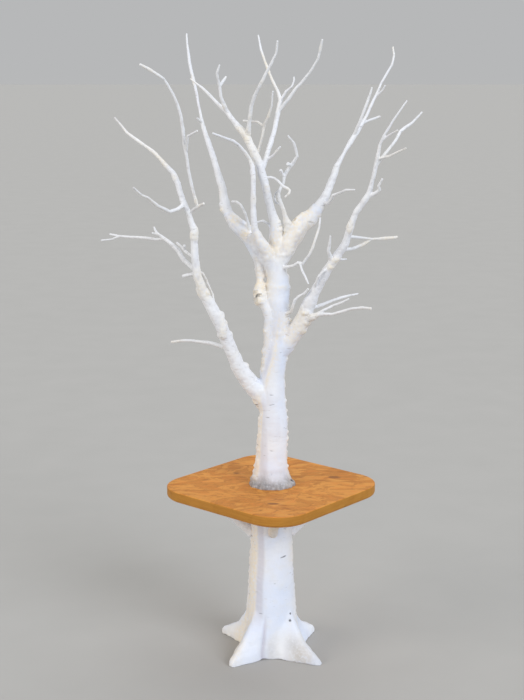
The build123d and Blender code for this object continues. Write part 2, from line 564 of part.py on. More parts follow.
# ---------------------------------------------------------------- build: upper trunk
upper_trunk = join(
    branch(TRUNK),
    make_arm(LEFT_LEADER, CROWN_LEFT),
    make_arm(RIGHT_LEADER, CROWN_RIGHT),
    make_arm(CENTRE_LEADER, CROWN_CENTRE),
    make_arm(FRONT_LEADER, FRONT_STEM),
    branch(LEFT_WEB),
    make_arm(LEFT_BOSS, LEFT_LIMB),
    make_arm(RIGHT_BOSS, RIGHT_LIMB),
)
upper_trunk = upper_trunk - cylinder(POCKET_RADIUS, SEAT_Z - 1, POCKET_TOP)
upper_trunk = upper_trunk - cylinder(MAST_RADIUS, POCKET_TOP - 1, MAST_TOP)
sleeves, grubs = [], []
for name, (limb, pin_radius, wall, depth, reach) in JOINTS.items():
    pin, sleeve, grub, cutters = make_joint(limb, pin_radius, wall, depth, reach)
    parts[name.replace("_limb", "") + "_pin"] = pin
    sleeves.append(sleeve)
    grubs.append(grub)
    upper_trunk = bore(upper_trunk, *cutters)
parts["limb_sleeves"] = Compound(children=sleeves)
parts["grub_screws"] = Compound(children=grubs)
for name, routes in TRUNK_TWIGS.items():
    parts[name] = join(*[branch(route) for route in routes])
    upper_trunk = upper_trunk - parts[name]
crotch = [join(*[branch(route) for route in routes]) for routes in CROTCH_TWIGS]
parts["crotch_twigs"] = Compound(children=crotch)
parts["upper_trunk"] = bore(upper_trunk, *crotch)

# ---------------------------------------------------------------- build: limbs
spurs = [join(*[branch(route) for route in routes]) for routes in LEFT_SPURS]
parts["left_spurs"] = Compound(children=spurs)
left_limb = make_limb("left_limb", LEFT_LIMB, [], LEFT_TWIGS)
parts["left_limb"] = bore(left_limb, *spurs)
parts["right_limb"] = make_limb(
    "right_limb", RIGHT_LIMB, [RIGHT_LIMB_SPUR, RIGHT_LIMB_FORK], RIGHT_TWIGS)
parts["crown_left_limb"] = make_limb(
    "crown_left", CROWN_LEFT, [CROWN_LEFT_SPUR, CROWN_LEFT_KNUCKLE], {})
parts["crown_right_limb"] = make_limb(
    "crown_right", CROWN_RIGHT, [CROWN_RIGHT_FORK], CROWN_RIGHT_TWIGS)
parts["crown_centre_limb"] = make_limb("crown_centre", CROWN_CENTRE, [], CROWN_CENTRE_TWIGS)
parts["front_stem"] = make_limb("front_stem", FRONT_STEM, [], FRONT_STEM_TWIGS)

for name, piece in parts.items():
    export_step(piece, f"parts/{name}.step")
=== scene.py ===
"""The looks of the tree table: bark skins, paint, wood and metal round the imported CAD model.

Each bark node's CAD solid is copied, given an even mesh, eased, and grown into bark: flutes,
wrinkles, knots, filler lumps and scars are real relief. Sizes are in metres.
"""
import functools
import itertools
import json
import math
import random

import bmesh
import bpy
import numpy as np
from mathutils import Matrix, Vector
from mathutils.bvhtree import BVHTree


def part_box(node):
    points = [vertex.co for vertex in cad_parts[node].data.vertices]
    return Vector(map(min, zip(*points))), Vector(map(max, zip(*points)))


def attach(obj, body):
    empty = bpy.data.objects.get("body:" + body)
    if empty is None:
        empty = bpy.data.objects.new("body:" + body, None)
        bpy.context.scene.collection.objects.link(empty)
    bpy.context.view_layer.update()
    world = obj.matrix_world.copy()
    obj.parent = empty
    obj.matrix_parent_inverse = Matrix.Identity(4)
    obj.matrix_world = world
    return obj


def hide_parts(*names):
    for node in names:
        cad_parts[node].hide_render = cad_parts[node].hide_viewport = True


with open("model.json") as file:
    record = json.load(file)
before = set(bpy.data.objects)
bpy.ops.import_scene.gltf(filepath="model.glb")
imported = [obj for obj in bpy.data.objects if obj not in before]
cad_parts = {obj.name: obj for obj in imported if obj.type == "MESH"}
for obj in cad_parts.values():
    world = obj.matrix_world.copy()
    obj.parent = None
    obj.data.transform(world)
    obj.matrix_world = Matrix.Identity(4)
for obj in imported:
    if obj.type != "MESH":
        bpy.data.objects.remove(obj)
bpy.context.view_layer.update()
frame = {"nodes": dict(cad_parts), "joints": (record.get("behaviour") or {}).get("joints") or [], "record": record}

MM = 0.001
NODES = frame["nodes"]
BODIES = frame["record"]["behaviour"]["bodies"]
BODY_OF = {node: body for body, members in BODIES.items() for node in members}
SLOT_OF = {part["node"]: part["material_slot"] for part in frame["record"]["subparts"]}
JOINTS = [(Vector(j["pos_m"]), Vector(j["axis"]).normalized(), j["child"]) for j in frame["joints"]]

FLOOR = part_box("base_plate")[0].z
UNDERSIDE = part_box("tabletop")[0].z
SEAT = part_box("upper_trunk")[0].z

COARSE = 1.0
VOXELS = {"trunk_skin": 4.0 * MM, "strut_wood": 2.6 * MM, "limb_bark": 2.5 * MM, "twig_bark": 1.5 * MM}
BUTT_BAND = 0.6 * MM          # vertices this near a joint's plane are on its butt faces
BRIDGE = 12 * MM              # how far a butt end is lengthened before it is sawn flat again
WIDEST_BUTT = 60 * MM         # more than any butt face's radius
WELD = 0.002 * MM             # vertices this near each other are one
COLLAR = {"trunk_skin": 16 * MM, "limb_bark": 11 * MM, "twig_bark": 5 * MM}
SKIN = (2.5 * MM, 7 * MM)     # bark relief fades in over this distance from hidden steel
FREE = (25 * MM, 70 * MM)     # and a branch's wander over this
THICKEST = 120 * MM           # how far a branch's thickness is looked for
UPRIGHT = np.array([34, 34, 210]) * MM    # bump spacing of the trunk's flutes
FLAT = np.array([26, 26, 7]) * MM         # and of its rings of wrinkles
ROOTS_END = (0.14, 0.24)      # height over which the roots' own relief fades out
LIMBWISE_FROM = (1.62, 1.74)  # height over which the trunk's bark turns into a limb's


# ---------------------------------------------------------------- noise
LATTICE = np.random.default_rng(23).uniform(-1, 1, (64, 64, 64))


def swell(points, wavelength, shift=0.0):
    """Smooth noise from -1 to 1 whose bumps are about a wavelength (or one per axis) apart."""
    cell = points / np.asarray(wavelength) + shift
    low = np.floor(cell).astype(int)
    part = cell - low
    part = part * part * (3 - 2 * part)
    total = np.zeros(len(points))
    for corner in itertools.product((0, 1), repeat=3):
        index = (low + corner) % 64
        weight = np.prod(np.where(corner, part, 1 - part), axis=1)
        total += weight * LATTICE[index[:, 0], index[:, 1], index[:, 2]]
    return total


def step(value, low, high):
    """0 below low, 1 above high, and smooth between."""
    t = np.clip((value - low) / (high - low), 0, 1)
    return t * t * (3 - 2 * t)


def stripe(value, start, full, fading, end):
    """0 outside start and end, 1 from full to fading, and smooth between."""
    return step(value, start, full) * (1 - step(value, fading, end))


def peak(value, middle, width):
    """A smooth bump, 1 at the middle."""
    return np.exp(-((value - middle) / width) ** 2)


def largest(*fields):
    return functools.reduce(np.maximum, fields)


# ---------------------------------------------------------------- meshes
def solid_of(node):
    """The CAD node's surface as a welded bmesh."""
    bm = bmesh.new()
    bm.from_mesh(NODES[node].data)
    bmesh.ops.remove_doubles(bm, verts=bm.verts, dist=WELD)
    return bm


def tree_of(nodes):
    """One search tree over several CAD nodes."""
    points, faces = [], []
    for node in nodes:
        mesh = NODES[node].data
        first = len(points)
        points += [v.co.copy() for v in mesh.vertices]
        faces += [[first + i for i in p.vertices] for p in mesh.polygons]
    return BVHTree.FromPolygons(points, faces)


def distances(points, tree, farthest):
    """Each point's distance from a search tree, up to the farthest that matters."""
    found = (tree.find_nearest(Vector(p), farthest)[3] for p in points)
    return np.array([farthest if d is None else d for d in found])


HARDWARE = tree_of([n for n, slot in SLOT_OF.items()
                    if slot in ("core_steel", "pin_steel") and n != "base_plate"])


def joint_planes(node):
    """(point, axis out of this node, radius) of each sawn butt face of a node."""
    planes = []
    for point, axis, child in JOINTS:
        if child not in (node, node.removesuffix("_limb")) and node != "upper_trunk":
            continue
        ring = [(v.co - point) for v in NODES[node].data.vertices]
        ring = [d.length for d in ring if abs(d.dot(axis)) < BUTT_BAND and d.length < WIDEST_BUTT]
        if ring:
            outward = axis if node == "upper_trunk" else -axis
            planes.append((point, outward, max(ring)))
    return planes


def lengthen_butts(bm, planes):
    """Moves each butt face outward, so that easing the mesh doesn't round the sawn edge."""
    for point, outward, radius in planes:
        for v in bm.verts:
            offset = v.co - point
            if abs(offset.dot(outward)) < BUTT_BAND and offset.length < radius + MM:
                v.co += outward * BRIDGE


def beyond(bm, plane, outward, radius):
    """The vertices of a lengthened butt end beyond its joint plane, walked to from its middle."""
    tip = plane + outward * BRIDGE
    first = min(bm.verts, key=lambda v: (v.co - tip).length_squared)
    found, waiting = {first}, [first]
    while waiting:
        vertex = waiting.pop()
        for edge in vertex.link_edges:
            other = edge.other_vert(vertex)
            offset = other.co - plane
            if other not in found and offset.dot(outward) > 0 and offset.length < radius + 3 * BRIDGE:
                found.add(other)
                waiting.append(other)
    return found


def saw_butts(bm, planes):
    """Saws the lengthened butt ends flat at their joint planes."""
    for point, outward, radius in planes:
        plane = point + outward * (-0.2 * MM if outward.dot(Vector((0, 0, 1))) > 0 else -0.05 * MM)
        faces = {f for v in beyond(bm, plane, outward, radius) for f in v.link_faces}
        edges = {e for f in faces for e in f.edges}
        verts = {v for f in faces for v in f.verts}
        cut = bmesh.ops.bisect_plane(bm, geom=list(verts) + list(edges) + list(faces), plane_co=plane,
                                     plane_no=outward, clear_outer=True)["geom_cut"]
        rim = [e for e in cut if isinstance(e, bmesh.types.BMEdge) and e.is_boundary]
        bmesh.ops.triangle_fill(bm, use_beauty=True, use_dissolve=False, edges=rim, normal=outward)


def even_mesh(name, bm, voxel):
    """A closed mesh of even small quads over everything in a bmesh."""
    mesh = bpy.data.meshes.new(name)
    bm.to_mesh(mesh)
    bm.free()
    piece = bpy.data.objects.new(name, mesh)
    bpy.context.scene.collection.objects.link(piece)
    remesh = piece.modifiers.new("even", "REMESH")
    remesh.mode = "VOXEL"
    remesh.voxel_size = voxel * COARSE
    made = bpy.data.meshes.new_from_object(piece.evaluated_get(bpy.context.evaluated_depsgraph_get()))
    piece.modifiers.clear()
    piece.data = made
    bpy.data.meshes.remove(mesh)
    return piece


def read(mesh, what="co"):
    """The mesh's vertex places, or normals, as an array."""
    values = np.zeros(len(mesh.vertices) * 3)
    mesh.vertices.foreach_get(what, values)
    return values.reshape(-1, 3)


def edge_ends(mesh):
    ends = np.zeros(len(mesh.edges) * 2, int)
    mesh.edges.foreach_get("vertices", ends)
    return ends.reshape(-1, 2)


def neighbour_mean(values, ends):
    """The mean of each vertex's neighbours."""
    start = np.concatenate([ends[:, 0], ends[:, 1]])
    other = np.concatenate([ends[:, 1], ends[:, 0]])
    count = np.maximum(np.bincount(start, minlength=len(values)), 1)
    columns = [np.bincount(start, values[other, k], len(values)) / count for k in range(values.shape[1])]
    return np.stack(columns, axis=1)


def ease(points, ends, rounds):
    """Smooths away facets and kinks without thinning: each shrinking pass is undone by a growing one."""
    for _ in range(rounds):
        for amount in (0.5, -0.52):
            points = points + amount * (neighbour_mean(points, ends) - points)
    return points


def half_thickness(piece, points, normals):
    """How thick the piece is under each vertex, halved."""
    tree = BVHTree.FromPolygons([Vector(p) for p in points], [list(p.vertices) for p in piece.data.polygons])
    depth = np.full(len(points), THICKEST / 2)
    for i, (p, n) in enumerate(zip(points, normals)):
        inward = -Vector(n)
        hit = tree.ray_cast(Vector(p) + inward * 0.4 * MM, inward, THICKEST)
        if hit[0] is not None:
            depth[i] = hit[3] / 2
    ends = edge_ends(piece.data)
    depth = depth[:, None]
    for _ in range(8):
        depth = neighbour_mean(depth, ends)
    return depth[:, 0]


def store(piece, name, values):
    """Keeps a value per vertex for the materials."""
    layer = piece.data.attributes.new(name, "FLOAT", "POINT")
    layer.data.foreach_set("value", np.asarray(values, np.float32))


# ---------------------------------------------------------------- bark features
# Scars are (height, bearing, length, width, tilt, darkness): bearing 0 faces -Y and 90 faces +X.
LOWER_SCARS = [
    (0.448, 32, 34, 6, 6, 0.85), (0.349, -22, 15, 4, 0, 0.35), (0.334, 7, 14, 4, -4, 0.45),
    (0.336, 19, 12, 4, 5, 0.4), (0.272, -3, 12, 5, -35, 0.3), (0.198, -27, 24, 4, 0, 0.5),
    (0.187, -8, 16, 4, 0, 0.35), (0.190, 47, 11, 10, 0, 0.75), (0.163, 42, 12, 11, 0, 0.8),
]
UPPER_SCARS = [
    (0.768, 74, 26, 10, -35, 1.0), (0.912, -2, 22, 5, -3, 0.6), (0.872, -18, 13, 4, 0, 0.35),
    (0.812, -2, 9, 14, 0, 0.3), (1.150, -10, 22, 5, 0, 0.5), (1.108, -7, 30, 6, 12, 0.5),
    (1.053, -19, 15, 5, 0, 0.5), (1.007, 50, 12, 5, 0, 0.5), (1.245, 10, 20, 4, 0, 0.4),
    (1.330, 25, 14, 4, 0, 0.4), (1.420, -5, 16, 4, 0, 0.35), (1.505, 20, 14, 4, 0, 0.4),
]


def scars_round(low, high, count, seed):
    """Scars for the sides and back, spread at random over a stretch of the trunk."""
    pick = random.Random(seed)
    return [(pick.uniform(low, high), pick.uniform(70, 300), pick.uniform(10, 32),
             pick.uniform(3.5, 6), pick.uniform(-8, 8), pick.uniform(0.3, 0.9)) for _ in range(count)]


# Filler lumps are (place, radius, height) in mm; one without height only tints the bark.
LUMPS = [
    ((-62, -30, 1572), 26, 17), ((-52, -42, 1548), 22, 12), ((-68, -20, 1526), 18, 12),
    ((-56, -34, 1598), 16, 10), ((36, -14, 1840), 19, 12), ((34, -13, 1868), 16, 12),
    ((29, -13, 1888), 11, 8), ((80, -8, 1856), 26, 11), ((104, -6, 1878), 22, 9),
    ((128, 0, 1896), 18, 6), ((186, 10, 1893), 18, 8), ((160, 4, 1862), 20, 7),
    ((60, -14, 1822), 18, 7), ((-96, 38, 1836), 24, 7), ((-50, -2, 1720), 20, 5),
    ((64, -52, 752), 22, 12), ((84, -20, 752), 20, 12), ((30, -86, 752), 18, 8), ((-34, -84, 752), 20, 8),
    ((-76, -46, 753), 18, 7), ((-88, 0, 752), 18, 4), ((-55, 75, 752), 24, 10), ((10, 94, 752), 22, 9),
    ((75, 55, 752), 22, 11), ((-52, -12, 1245), 16, 8), ((-34, -24, 1335), 14, 6),
    ((-26, -36, 1420), 14, 5), ((-190, -84, 1500), 15, 9), ((-196, -86, 1462), 13, 7),
    ((-160, -60, 1330), 16, 5), ((150, -66, 1458), 22, 12), ((176, -78, 1480), 20, 11),
    ((130, -52, 1424), 18, 8), ((98, -14, 1866), 42, 0), ((144, 0, 1900), 36, 0),
    ((254, -150, 1726), 15, 8), ((236, -140, 1700), 14, 6), ((-206, 78, 1908), 15, 9),
    ((0, -44, 1772), 55, 0), ((-150, 28, 1880), 36, 0), ((-108, 8, 1812), 28, 0),
]


def scar_marks(points, scars, bearing, radius):
    """(slit, lip) at each vertex for the scars round a trunk."""
    slit, lip = np.zeros(len(points)), np.zeros(len(points))
    for height, angle, length, width, tilt, shade in scars:
        turn = (bearing - angle + 180) % 360 - 180
        along = np.radians(turn) * radius
        up = points[:, 2] - height
        c, s = math.cos(math.radians(tilt)), math.sin(math.radians(tilt))
        u = (along * c + up * s) / (length / 2 * MM)
        v = (-along * s + up * c) / (width / 2 * MM)
        slit = np.maximum(slit, shade * np.exp(-(u * u) ** 1.5 - v * v))
        lip = np.maximum(lip, shade * np.exp(-(u * u) ** 1.5 - (np.abs(v) - 1.7) ** 2 * 2))
    return slit, lip


def lump_field(points):
    """(height, cover) of the filler lumps at each vertex."""
    height, cover = np.zeros(len(points)), np.zeros(len(points))
    rough = 1 + 0.45 * swell(points, 11 * MM, 5.1)
    for place, radius, rise in LUMPS:
        d = np.linalg.norm(points - np.array(place) * MM, axis=1) / (radius * MM)
        bell = np.exp(-d * d)
        height += rise * MM * bell * rough
        cover = np.maximum(cover, bell)
    return height, cover


def sway(points, ends_free):
    """A gentle natural wander of a branch's line, which is still near the hardware."""
    wander = np.stack([swell(points, 120 * MM, k) for k in (3.3, 17.7, 31.1)], axis=1)
    fine = np.stack([swell(points, 42 * MM, k) for k in (8.3, 22.7, 41.1)], axis=1)
    return (wander * 3.6 + fine * 1.5) * MM * ends_free[:, None]


def lower_marks(up, bearing, wobble, points):
    """(height, putty, painted shade in recesses, painted shade on a root toe and the web below the cleft) of the
    lower trunk's strips, front cleft and root toes.
    """
    low = 1 - step(up, 0.10, 0.22)
    drift = bearing + 0.35 * wobble
    strip = stripe(drift, -46, -36, -27, -17) * step(up, 0.10, 0.24)
    cream = step(drift + 40 * low, -88, -70) * (1 - step(drift + 10 * low, -44, -36))
    cleft = peak(bearing + 0.15 * wobble, -16, 3.4) * (1 - step(up, 0.12, 0.21))
    # Painted shade on a root toe's face turned from the light, and on the web of the roots below the front cleft.
    toe = peak(bearing, 38, 12) * (1 - step(up, 0.05, 0.14))
    web = peak(bearing, -1, 13) * (1 - step(up, 0.03, 0.14))
    height = 0.7 * strip * swell(points, FLAT, 3.0) - 1.6 * strip - 5.5 * cleft
    height += 2.6 * (1 - step(up, *ROOTS_END)) * swell(points, 38 * MM, 21.1)
    # The recessed strip and the front cleft are darkened with painted shade.
    return height, 0.8 * cream, np.maximum(0.8 * strip, cleft), np.maximum(0.5 * toe, 0.3 * web)


def upper_marks(up, bearing, points):
    """(height, putty, painted shade in recesses, painted shade round the foot, cream, groove) of the upper trunk's
    foot, band and ridge.
    """
    shade = stripe(bearing, -56, -40, -24, -10) * (1 - step(up, 0.95, 1.12))
    cream = stripe(bearing, -98, -80, -54, -42) * (1 - step(up, 1.15, 1.35))
    # Painted shade round the foot, just above where the upper trunk stands on the board.
    painted_shade = 1 - step(up + 0.018 * swell(points, 34 * MM, 8.8), 0.752, 0.83)
    band = peak(up - 0.004 * swell(points, 60 * MM, 2.7), 1.602, 0.011) * (1 - step(bearing, 30, 70))
    course = np.interp(up, [1.15, 1.2, 1.32, 1.44, 1.52], [-50, -38, -5, 14, 18])
    fold = stripe(up, 1.14, 1.2, 1.45, 1.53)
    ridge = fold * peak(bearing, course, 9)
    groove = fold * peak(bearing, course - 21, 11) * (1 - step(up, 1.32, 1.42))
    height = 1.6 * band + 1.3 * ridge - 1.5 * groove
    putty = largest(0.45 * band, 0.8 * ridge, 0.7 * cream)
    # The shaded strip and the groove beside the ridge are darkened with painted shade.
    return height, putty, np.maximum(0.55 * shade, 0.6 * groove), painted_shade, cream, groove


def trunk_relief(points, bearing, lower):
    """(height, putty, painted shade in recesses, painted shade at the foot and toes) of the moulded trunk skin:
    flutes, wrinkles and two filled seams.
    """
    up = points[:, 2]
    flutes = swell(points, UPRIGHT, 2.2)
    height = 2.0 * flutes + 1.3 * swell(points, 48 * MM, 9.1)
    height += 0.55 * swell(points, FLAT, 4.4) * step(swell(points, 90 * MM, 7.7), -0.3, 0.4)
    height += 0.35 * swell(points, 8 * MM, 1.9)
    wobble = 9 * swell(points, 70 * MM, 12.5)
    left_share, right_share, bead_height = (0.8, 0.45, 5.0) if lower else (1.0, 1.0, 6.6)
    seam = np.maximum(left_share * peak(bearing + wobble, -84, 24),
                      right_share * peak(bearing + wobble, 86, 17))
    beads = step(swell(points, np.array([20, 20, 15]) * MM, 6.6), -0.15, 0.75)
    height += bead_height * seam * beads - 0.8 * seam
    putty = seam * (0.55 + 0.45 * beads) + 0.5 * step(swell(points, 150 * MM, 14.2), 0.25, 0.7)
    # Painted shade in the troughs of the flutes.
    hollow_shade = step(-flutes, 0.1, 0.9) * 0.5
    if lower:
        more, filler, sunk_shade, painted_shade = lower_marks(up, bearing, wobble, points)
        hollow_shade = hollow_shade * 0.6
    else:
        more, filler, sunk_shade, painted_shade, cream, groove = upper_marks(up, bearing, points)
        hollow_shade = hollow_shade * (1 - cream)
        putty = putty * (1 - groove)
    height += more
    putty = np.maximum(putty, filler)
    hollow_shade = np.maximum(hollow_shade, sunk_shade)
    return height * MM, np.clip(putty, 0, 1), np.clip(hollow_shade, 0, 1), painted_shade


def branch_relief(points, thick):
    """(height, putty, painted shade in the pits) of natural bark on a limb or twig, in keeping with its thickness.
    """
    knots = step(swell(points, 46 * MM, 19.3), 0.42, 0.85)
    pits = swell(points, 13 * MM, 27.5)
    height = thick * (0.09 * swell(points, 40 * MM, 5.5) + 0.30 * knots)
    height += np.minimum(0.07 * thick, 1.1 * MM) * pits
    height += np.minimum(0.05 * thick, 0.6 * MM) * swell(points, 6 * MM, 33.3)
    putty = 0.55 * knots + 0.6 * step(swell(points, 170 * MM, 44.4), 0.15, 0.6)
    # Painted shade in the pits.
    return height, np.clip(putty, 0, 1), 0.45 * step(-pits, 0.2, 0.9)


# ---------------------------------------------------------------- bark pieces
def touching(node):
    """The smaller nodes of the same body that grow out of this one."""
    tree = tree_of([node])
    guests = []
    for other in BODIES[BODY_OF[node]]:
        if other == node or "bark" not in SLOT_OF[other]:
            continue
        if volume_of(other) >= volume_of(node):
            continue
        gaps = [tree.find_nearest(v.co, MM)[3] for v in NODES[other].data.vertices]
        if sum(g is not None and g < 0.3 * MM for g in gaps) > 8:
            guests.append(other)
    return guests


VOLUMES = {}


def volume_of(node):
    if node not in VOLUMES:
        bm = solid_of(node)
        VOLUMES[node] = bm.calc_volume()
        bm.free()
    return VOLUMES[node]


def drop_guests(bm, node, collar):
    """Cuts off what grew out of the node further than a collar, which the guest's own piece covers."""
    tree = tree_of([node])
    outside = [v for v in bm.verts if tree.find_nearest(v.co, collar)[0] is None]
    if not outside:
        return
    bmesh.ops.delete(bm, geom=outside, context="VERTS")
    bmesh.ops.holes_fill(bm, edges=[e for e in bm.edges if e.is_boundary], sides=0)


def move_to(piece, points):
    """Moves the piece's vertices."""
    piece.data.vertices.foreach_set("co", points.ravel())
    piece.data.update()


def rough_piece(node, planes, guests):
    """An even mesh over a node and its guests, eased, with its butt ends still lengthened."""
    slot = SLOT_OF[node]
    bm = solid_of(node)
    lengthen_butts(bm, planes)
    for guest in guests:
        bm.from_mesh(NODES[guest].data)
    bmesh.ops.remove_doubles(bm, verts=bm.verts, dist=WELD)
    piece = even_mesh(node + "_bark", bm, VOXELS[slot])
    ends = edge_ends(piece.data)
    points = ease(read(piece.data), ends, 14 if slot == "trunk_skin" else 12)
    if node == "lower_trunk":
        rooty = 1 - step(points[:, 2:], 0.17, 0.25)
        points = points + rooty * (ease(points, ends, 40) - points)
    move_to(piece, points)
    return piece, points


def trunk_fields(points, thick, planes, cover, lower):
    """(height, putty, painted shade in recesses, scar, painted shade at the foot and toes) at each vertex of a
    trunk skin.
    """
    up = points[:, 2]
    axis_x = np.interp(up, [1.0, 1.33, 1.6, 1.75], [0.003, 0.016, 0.022, 0.012])
    bearing = np.degrees(np.arctan2(points[:, 0] - axis_x, -points[:, 1]))
    radius = np.hypot(points[:, 0] - axis_x, points[:, 1])
    height, putty, hollow_shade, painted_shade = trunk_relief(points, bearing, lower)
    limbwise = np.zeros(len(points)) if lower else step(up, *LIMBWISE_FROM)
    for plane, _, butt_radius in planes:
        from_joint = np.linalg.norm(points - np.array(plane), axis=1)
        near = 1 - step(from_joint, butt_radius + 8 * MM, butt_radius + 50 * MM)
        limbwise = np.maximum(limbwise, near)
    branch_height, branch_putty, branch_shade = branch_relief(points, np.minimum(thick, 30 * MM))
    height = height * (1 - limbwise) + branch_height * limbwise
    putty = putty * (1 - limbwise) + branch_putty * limbwise
    hollow_shade = hollow_shade * (1 - limbwise) + branch_shade * limbwise
    if lower:
        scars = LOWER_SCARS + scars_round(0.16, 0.66, 22, 5)
        stem = 1.0
    else:
        scars = UPPER_SCARS + scars_round(0.82, 1.6, 30, 6)
        stem = 1 - step(radius - 0.064, 0, 0.01) * step(up, 1.12, 1.2)
    stem = stem * (1 - step(cover, 0.05, 0.3) * step(up, 1.2, 1.3))
    slit, lip = (mark * stem for mark in scar_marks(points, scars, bearing, radius))
    height += (1.1 * lip - 2.4 * slit) * MM
    return height, putty, hollow_shade, slit, painted_shade


def bark_piece(node):
    """The visible bark skin that stands for one CAD node."""
    slot = SLOT_OF[node]
    trunk = slot == "trunk_skin"
    planes = joint_planes(node)
    guests = touching(node)
    piece, points = rough_piece(node, planes, guests)
    mesh = piece.data
    normals = read(mesh, "normal")
    thick = half_thickness(piece, points, normals)
    inner = distances(points, HARDWARE, 80 * MM)
    lumps, cover = lump_field(points)
    if trunk:
        height, putty, hollow_shade, scar, painted_shade = trunk_fields(points, thick, planes, cover, node == "lower_trunk")
    else:
        height, putty, hollow_shade = branch_relief(points, np.minimum(thick, 40 * MM))
        scar = painted_shade = np.zeros(len(points))
    height += lumps
    putty = np.maximum(putty, cover)
    if slot == "twig_bark":
        height += 0.25 * MM
    if slot == "strut_wood":
        putty = np.full(len(points), 1.0 if node == "strut_front" else 0.0)
    points = points + normals * (height * step(inner, *SKIN))[:, None]
    if slot != "strut_wood":
        free = step(inner, *FREE) * (step(points[:, 2], 1.0, 1.5) if trunk else 1.0)
        points = points + sway(points, free)
    if node == "lower_trunk" or slot == "strut_wood":
        points[:, 2] = np.clip(points[:, 2], FLOOR, UNDERSIDE)
    if node == "upper_trunk":
        points[:, 2] = np.maximum(points[:, 2], SEAT)
    move_to(piece, points)
    # Kept for the paint: cream filler, painted shade in recesses, dark scars, and painted shade at the foot and
    # toes.
    for name, values in (("putty", putty), ("hollow_shade", hollow_shade), ("scar", scar), ("painted_shade", painted_shade)):
        store(piece, name, values)
    bm = bmesh.new()
    bm.from_mesh(mesh)
    if guests:
        drop_guests(bm, node, COLLAR[slot])
    saw_butts(bm, planes)
    bmesh.ops.recalc_face_normals(bm, faces=bm.faces)
    bm.to_mesh(mesh)
    bm.free()
    mesh.polygons.foreach_set("use_smooth", [True] * len(mesh.polygons))
    mesh.set_sharp_from_angle(angle=math.radians(62))
    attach(piece, BODY_OF[node])
    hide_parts(node)
    return piece


# ---------------------------------------------------------------- materials
class Recipe:
    """A node material, written one ingredient to a line."""

    def __init__(self, name, **constants):
        self.material = bpy.data.materials.new(name)
        self.material.use_nodes = True
        self.tree = self.material.node_tree
        self.shader = next(n for n in self.tree.nodes if n.type == "BSDF_PRINCIPLED")
        self.place = self.add("ShaderNodeTexCoord").outputs["Object"]
        for socket, value in constants.items():
            self.shader.inputs[socket.replace("_", " ")].default_value = value

    def add(self, kind, **settings):
        node = self.tree.nodes.new(kind)
        for name, value in settings.items():
            setattr(node, name, value)
        return node

    def feed(self, socket, value):
        """Links an output, or sets a number or colour."""
        if isinstance(value, bpy.types.NodeSocket):
            self.tree.links.new(value, socket)
        else:
            socket.default_value = value

    def stretched(self, stretch, turn):
        """The object's coordinates, turned about Z and scaled along each axis."""
        turned = self.add("ShaderNodeMapping", vector_type="POINT")
        self.feed(turned.inputs["Vector"], self.place)
        turned.inputs["Rotation"].default_value = (0, 0, math.radians(turn))
        scaled = self.add("ShaderNodeMapping", vector_type="POINT")
        self.feed(scaled.inputs["Vector"], turned.outputs[0])
        scaled.inputs["Scale"].default_value = stretch
        return scaled.outputs[0]

    def noise(self, scale, stretch=(1, 1, 1), detail=3.0, rough=0.5, twist=0.0, turn=0.0):
        node = self.add("ShaderNodeTexNoise")
        self.feed(node.inputs["Vector"], self.stretched(stretch, turn))
        node.inputs["Scale"].default_value = scale
        node.inputs["Detail"].default_value = detail
        node.inputs["Roughness"].default_value = rough
        node.inputs["Distortion"].default_value = twist
        return node.outputs["Fac"]

    def between(self, value, low, high):
        """0 below low, 1 above high, smooth between."""
        node = self.add("ShaderNodeMapRange", interpolation_type="SMOOTHSTEP")
        self.feed(node.inputs["Value"], value)
        node.inputs["From Min"].default_value = low
        node.inputs["From Max"].default_value = high
        return node.outputs["Result"]

    def math(self, operation, a, b=0.0):
        node = self.add("ShaderNodeMath", operation=operation)
        self.feed(node.inputs[0], a)
        self.feed(node.inputs[1], b)
        return node.outputs[0]

    def mix(self, share, first, second, blend="MIX"):
        node = self.add("ShaderNodeMix", data_type="RGBA", blend_type=blend)
        self.feed(node.inputs["Factor"], share)
        self.feed(node.inputs["A"], first)
        self.feed(node.inputs["B"], second)
        return node.outputs["Result"]

    def kept(self, name):
        """A value stored on the mesh."""
        node = self.add("ShaderNodeAttribute", attribute_name=name)
        return node.outputs["Fac"]

    def finish(self, colour, rough, height, depth):
        """Colour, roughness and the finest relief, depth metres deep."""
        self.feed(self.shader.inputs["Base Color"], colour)
        self.feed(self.shader.inputs["Roughness"], rough)
        bump = self.add("ShaderNodeBump")
        bump.inputs["Strength"].default_value = 1.0
        bump.inputs["Distance"].default_value = depth
        self.feed(bump.inputs["Height"], height)
        self.feed(self.shader.inputs["Normal"], bump.outputs[0])
        return self.material


def rgb(red, green, blue):
    """A linear colour from display values of 0 to 255."""
    return tuple(((c / 255 + 0.055) / 1.055) ** 2.4 if c > 10 else c / 3294.6
                 for c in (red, green, blue)) + (1.0,)


